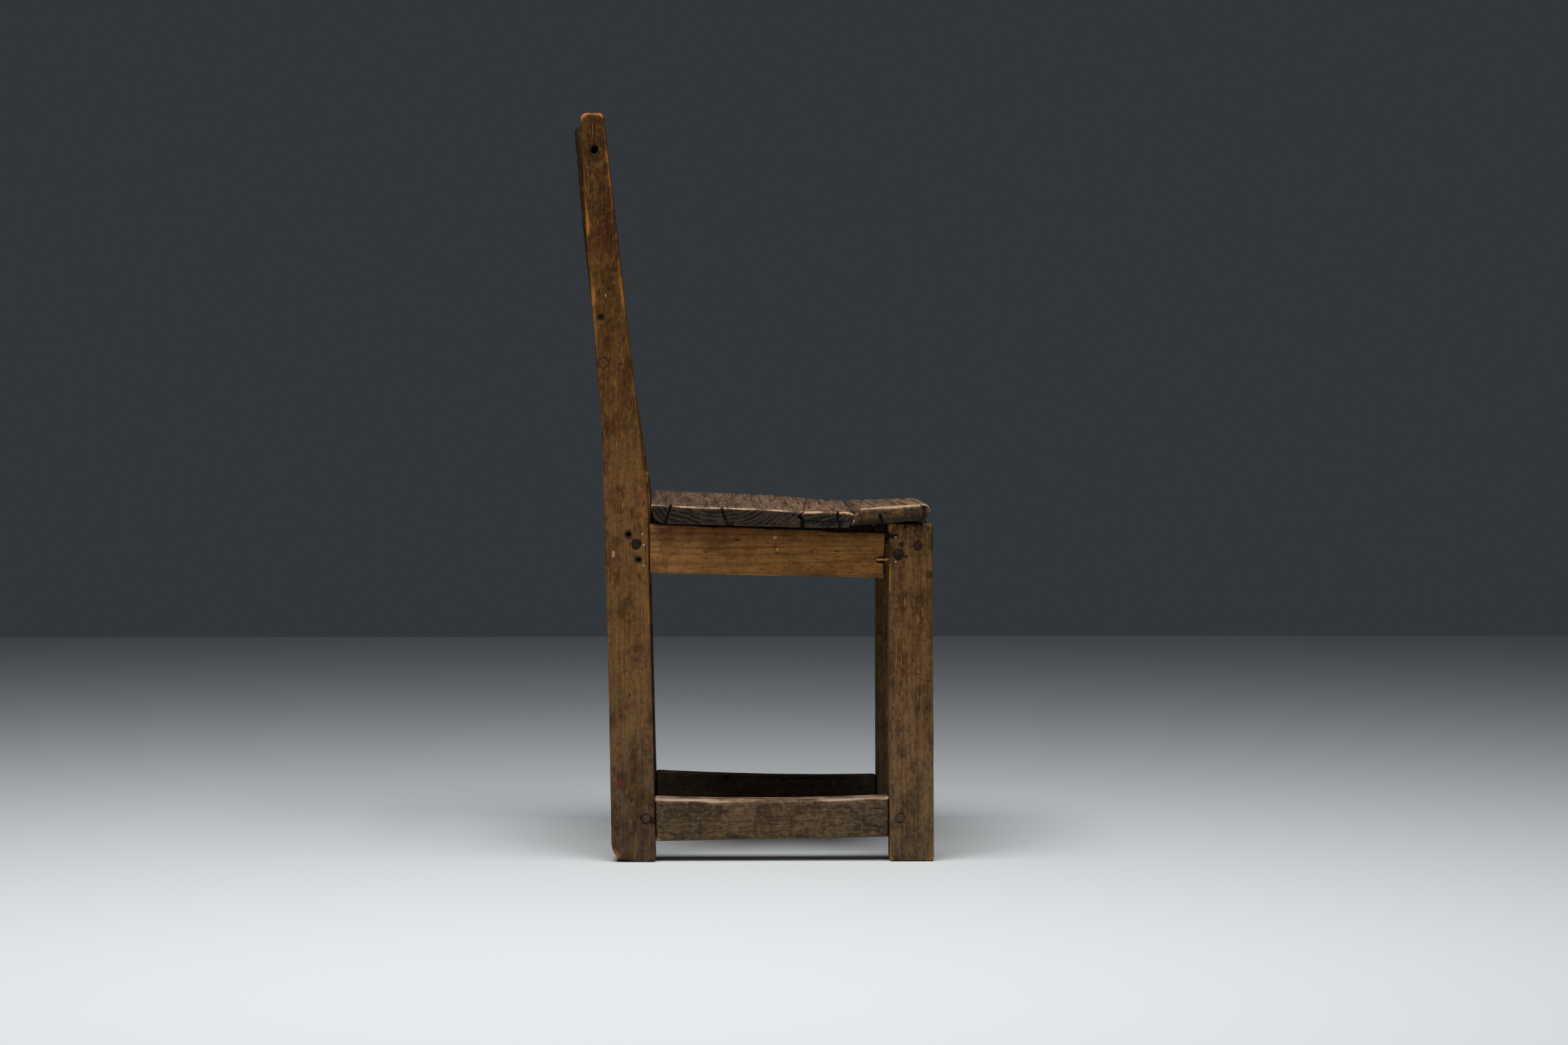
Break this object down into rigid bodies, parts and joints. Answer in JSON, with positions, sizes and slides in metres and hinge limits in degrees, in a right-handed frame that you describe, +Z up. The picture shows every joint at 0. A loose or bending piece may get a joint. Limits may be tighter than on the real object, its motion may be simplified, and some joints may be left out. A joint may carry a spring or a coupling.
{
  "type": "wooden side chair",
  "caption": "Old rustic side chair of bare worn wood: plank seat with split boards, raked back posts with cross rails, pegged seat rails and low side stretchers.",
  "frame": {"origin": "middle of the bounding box, on the floor", "axes": "+X to the chair's front, +Y to the sitter's left, +Z up"},
  "size_m": [0.455, 0.422, 0.9295],
  "materials": {
    "frame_wood": "old waxed brown softwood, worn lighter on the arrises",
    "seat_wood": "grey-brown worn boards with dark end grain",
    "peg_wood": "dark dry end grain",
    "iron": "rusted wrought nails"
  },
  "bodies": {
    "root": {"back_seat_rail": "frame_wood", "crest_rail": "frame_wood", "front_seat_rail": "frame_wood", "left_back_post": "frame_wood", "left_crest_rail_dowel": "peg_wood", "left_front_leg": "frame_wood", "left_front_rail_dowel": "peg_wood", "left_middle_rail_dowel": "peg_wood", "left_rail_peg_front": "peg_wood", "left_rail_peg_rear": "peg_wood", "left_seat_nail_1": "iron", "left_seat_nail_2": "iron", "left_seat_nail_3": "iron", "left_seat_nail_4": "iron", "left_seat_nail_5": "iron", "left_seat_nail_6": "iron", "left_seat_rail": "frame_wood", "left_stretcher": "frame_wood", "left_stretcher_peg_front": "peg_wood", "left_stretcher_peg_rear": "peg_wood", "lower_back_rail": "frame_wood", "middle_back_rail": "frame_wood", "right_back_post": "frame_wood", "right_front_leg": "frame_wood", "right_front_rail_dowel": "peg_wood", "right_middle_rail_dowel": "peg_wood", "right_rail_peg_front": "peg_wood", "right_rail_peg_rear": "peg_wood", "right_seat_nail_1": "iron", "right_seat_nail_2": "iron", "right_seat_nail_3": "iron", "right_seat_nail_4": "iron", "right_seat_nail_5": "iron", "right_seat_rail": "frame_wood", "right_stretcher": "frame_wood", "right_stretcher_peg_front": "peg_wood", "right_stretcher_peg_rear": "peg_wood", "right_toe_nail": "iron", "seat_board_front": "seat_wood", "seat_board_middle": "seat_wood", "seat_board_rear": "seat_wood"}
  },
  "joints": []
}
